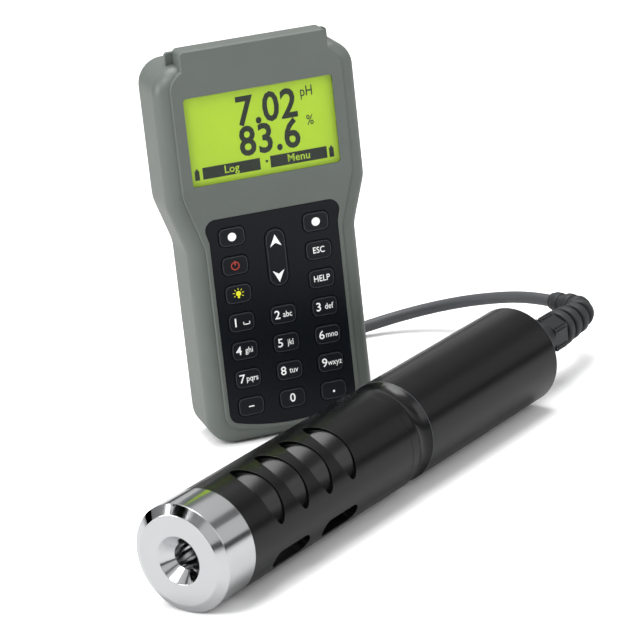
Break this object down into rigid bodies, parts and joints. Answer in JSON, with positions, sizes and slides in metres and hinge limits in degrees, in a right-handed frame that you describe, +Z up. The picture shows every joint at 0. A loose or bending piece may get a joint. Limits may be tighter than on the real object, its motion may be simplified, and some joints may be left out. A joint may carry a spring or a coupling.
{
  "type": "portable multiparameter meter",
  "caption": "Handheld water quality meter with backlit display and keypad, standing upright, with a slotted cylindrical multi-sensor probe on its cable.",
  "frame": {"origin": "middle of the meter's flat foot, on the surface it stands on", "axes": "+Z up along the meter, display faces -Y, +X to the right as the display is read"},
  "size_m": [0.272, 0.316, 0.185],
  "materials": {
    "case_plastic": "satin",
    "seal_rubber": "matt",
    "window_clear": "clear",
    "display_film": "lit liquid crystal",
    "white_plastic": "matt",
    "overlay_film": "fine satin film",
    "key_rubber": "satin",
    "mat_rubber": "matt",
    "board_green": "solder mask",
    "screw_steel": "satin",
    "tray_plastic": "matt",
    "cell_metal": "satin",
    "contact_metal": "bright",
    "connector_plastic": "satin",
    "cap_steel": "polished",
    "probe_plastic": "satin",
    "sensor_plastic": "satin",
    "probe_steel": "satin",
    "gland_plastic": "satin",
    "relief_rubber": "satin",
    "cable_jacket": "satin",
    "tie_fabric": "hook and loop",
    "plug_plastic": "matt",
    "plug_ring_metal": "ribbed"
  },
  "bodies": {
    "meter": {"aa_cells": "cell_metal", "backlight_tray": "white_plastic", "battery_contacts": "contact_metal", "battery_cover": "case_plastic", "battery_seal": "seal_rubber", "battery_tray": "tray_plastic", "cable_coil": "cable_jacket", "cable_tail": "cable_jacket", "cable_tie": "tie_fabric", "case_screws": "screw_steel", "case_seal": "seal_rubber", "conductivity_sensor": "sensor_plastic", "cover_screws": "screw_steel", "display_panel": "display_film", "display_window": "window_clear", "dome_mat": "mat_rubber", "front_shell": "case_plastic", "gland_body": "gland_plastic", "gland_nut": "gland_plastic", "keypad_overlay": "overlay_film", "main_board": "board_green", "oxygen_sensor": "sensor_plastic", "ph_sensor": "sensor_plastic", "plug_body": "plug_plastic", "probe_board": "board_green", "probe_body": "probe_plastic", "probe_cable": "cable_jacket", "probe_socket": "connector_plastic", "rear_plug": "probe_plastic", "rear_seal": "seal_rubber", "rear_shell": "case_plastic", "sensor_carrier": "connector_plastic", "sensor_seals": "seal_rubber", "socket_nut": "connector_plastic", "strain_relief": "relief_rubber", "temperature_sensor": "probe_steel", "usb_port": "connector_plastic"},
    "key_soft_left": {"key_soft_left": "key_rubber"},
    "key_soft_right": {"key_soft_right": "key_rubber"},
    "key_power": {"key_power": "key_rubber"},
    "key_escape": {"key_escape": "key_rubber"},
    "key_lamp": {"key_lamp": "key_rubber"},
    "key_help": {"key_help": "key_rubber"},
    "key_1": {"key_1": "key_rubber"},
    "key_2": {"key_2": "key_rubber"},
    "key_3": {"key_3": "key_rubber"},
    "key_4": {"key_4": "key_rubber"},
    "key_5": {"key_5": "key_rubber"},
    "key_6": {"key_6": "key_rubber"},
    "key_7": {"key_7": "key_rubber"},
    "key_8": {"key_8": "key_rubber"},
    "key_9": {"key_9": "key_rubber"},
    "key_minus": {"key_minus": "key_rubber"},
    "key_0": {"key_0": "key_rubber"},
    "key_point": {"key_point": "key_rubber"},
    "rocker": {"key_up_down": "key_rubber"},
    "flap": {"usb_flap": "seal_rubber"},
    "guard": {"shield": "probe_plastic", "end_cap": "cap_steel"},
    "lock_ring": {"plug_lock_ring": "plug_ring_metal"}
  },
  "joints": [
    {"name": "key_soft_left_press", "type": "slide", "parent": "meter", "child": "key_soft_left", "axis": [0, 1, 0], "range_m": [0, 0.0005], "stiffness_N_per_m": 600, "springref_m": -0.0005},
    {"name": "key_soft_right_press", "type": "slide", "parent": "meter", "child": "key_soft_right", "axis": [0, 1, 0], "range_m": [0, 0.0005], "stiffness_N_per_m": 600, "springref_m": -0.0005},
    {"name": "key_power_press", "type": "slide", "parent": "meter", "child": "key_power", "axis": [0, 1, 0], "range_m": [0, 0.0005], "stiffness_N_per_m": 600, "springref_m": -0.0005},
    {"name": "key_escape_press", "type": "slide", "parent": "meter", "child": "key_escape", "axis": [0, 1, 0], "range_m": [0, 0.0005], "stiffness_N_per_m": 600, "springref_m": -0.0005},
    {"name": "key_lamp_press", "type": "slide", "parent": "meter", "child": "key_lamp", "axis": [0, 1, 0], "range_m": [0, 0.0005], "stiffness_N_per_m": 600, "springref_m": -0.0005},
    {"name": "key_help_press", "type": "slide", "parent": "meter", "child": "key_help", "axis": [0, 1, 0], "range_m": [0, 0.0005], "stiffness_N_per_m": 600, "springref_m": -0.0005},
    {"name": "key_1_press", "type": "slide", "parent": "meter", "child": "key_1", "axis": [0, 1, 0], "range_m": [0, 0.0005], "stiffness_N_per_m": 600, "springref_m": -0.0005},
    {"name": "key_2_press", "type": "slide", "parent": "meter", "child": "key_2", "axis": [0, 1, 0], "range_m": [0, 0.0005], "stiffness_N_per_m": 600, "springref_m": -0.0005},
    {"name": "key_3_press", "type": "slide", "parent": "meter", "child": "key_3", "axis": [0, 1, 0], "range_m": [0, 0.0005], "stiffness_N_per_m": 600, "springref_m": -0.0005},
    {"name": "key_4_press", "type": "slide", "parent": "meter", "child": "key_4", "axis": [0, 1, 0], "range_m": [0, 0.0005], "stiffness_N_per_m": 600, "springref_m": -0.0005},
    {"name": "key_5_press", "type": "slide", "parent": "meter", "child": "key_5", "axis": [0, 1, 0], "range_m": [0, 0.0005], "stiffness_N_per_m": 600, "springref_m": -0.0005},
    {"name": "key_6_press", "type": "slide", "parent": "meter", "child": "key_6", "axis": [0, 1, 0], "range_m": [0, 0.0005], "stiffness_N_per_m": 600, "springref_m": -0.0005},
    {"name": "key_7_press", "type": "slide", "parent": "meter", "child": "key_7", "axis": [0, 1, 0], "range_m": [0, 0.0005], "stiffness_N_per_m": 600, "springref_m": -0.0005},
    {"name": "key_8_press", "type": "slide", "parent": "meter", "child": "key_8", "axis": [0, 1, 0], "range_m": [0, 0.0005], "stiffness_N_per_m": 600, "springref_m": -0.0005},
    {"name": "key_9_press", "type": "slide", "parent": "meter", "child": "key_9", "axis": [0, 1, 0], "range_m": [0, 0.0005], "stiffness_N_per_m": 600, "springref_m": -0.0005},
    {"name": "key_minus_press", "type": "slide", "parent": "meter", "child": "key_minus", "axis": [0, 1, 0], "range_m": [0, 0.0005], "stiffness_N_per_m": 600, "springref_m": -0.0005},
    {"name": "key_0_press", "type": "slide", "parent": "meter", "child": "key_0", "axis": [0, 1, 0], "range_m": [0, 0.0005], "stiffness_N_per_m": 600, "springref_m": -0.0005},
    {"name": "key_point_press", "type": "slide", "parent": "meter", "child": "key_point", "axis": [0, 1, 0], "range_m": [0, 0.0005], "stiffness_N_per_m": 600, "springref_m": -0.0005},
    {"name": "up_down_rock", "type": "hinge", "parent": "meter", "child": "rocker", "pos_m": [0, -0.0133, 0.0852], "axis": [1, 0, 0], "range_deg": [-1.5, 1.5], "stiffness_Nm_per_rad": 0.05},
    {"name": "usb_flap_open", "type": "hinge", "parent": "meter", "child": "flap", "pos_m": [0.012, -0.0006, 0.1763], "axis": [1, 0, 0], "range_deg": [0, 95]},
    {"name": "guard_pull", "type": "slide", "parent": "meter", "child": "guard", "axis": [-0.7852, -0.6192, 0], "range_m": [0, 0.12]},
    {"name": "plug_ring_turn", "type": "hinge", "parent": "meter", "child": "lock_ring", "pos_m": [0.0268, 0.089, 0.0395], "axis": [-1, 0, 0], "range_deg": [0, 60]}
  ]
}
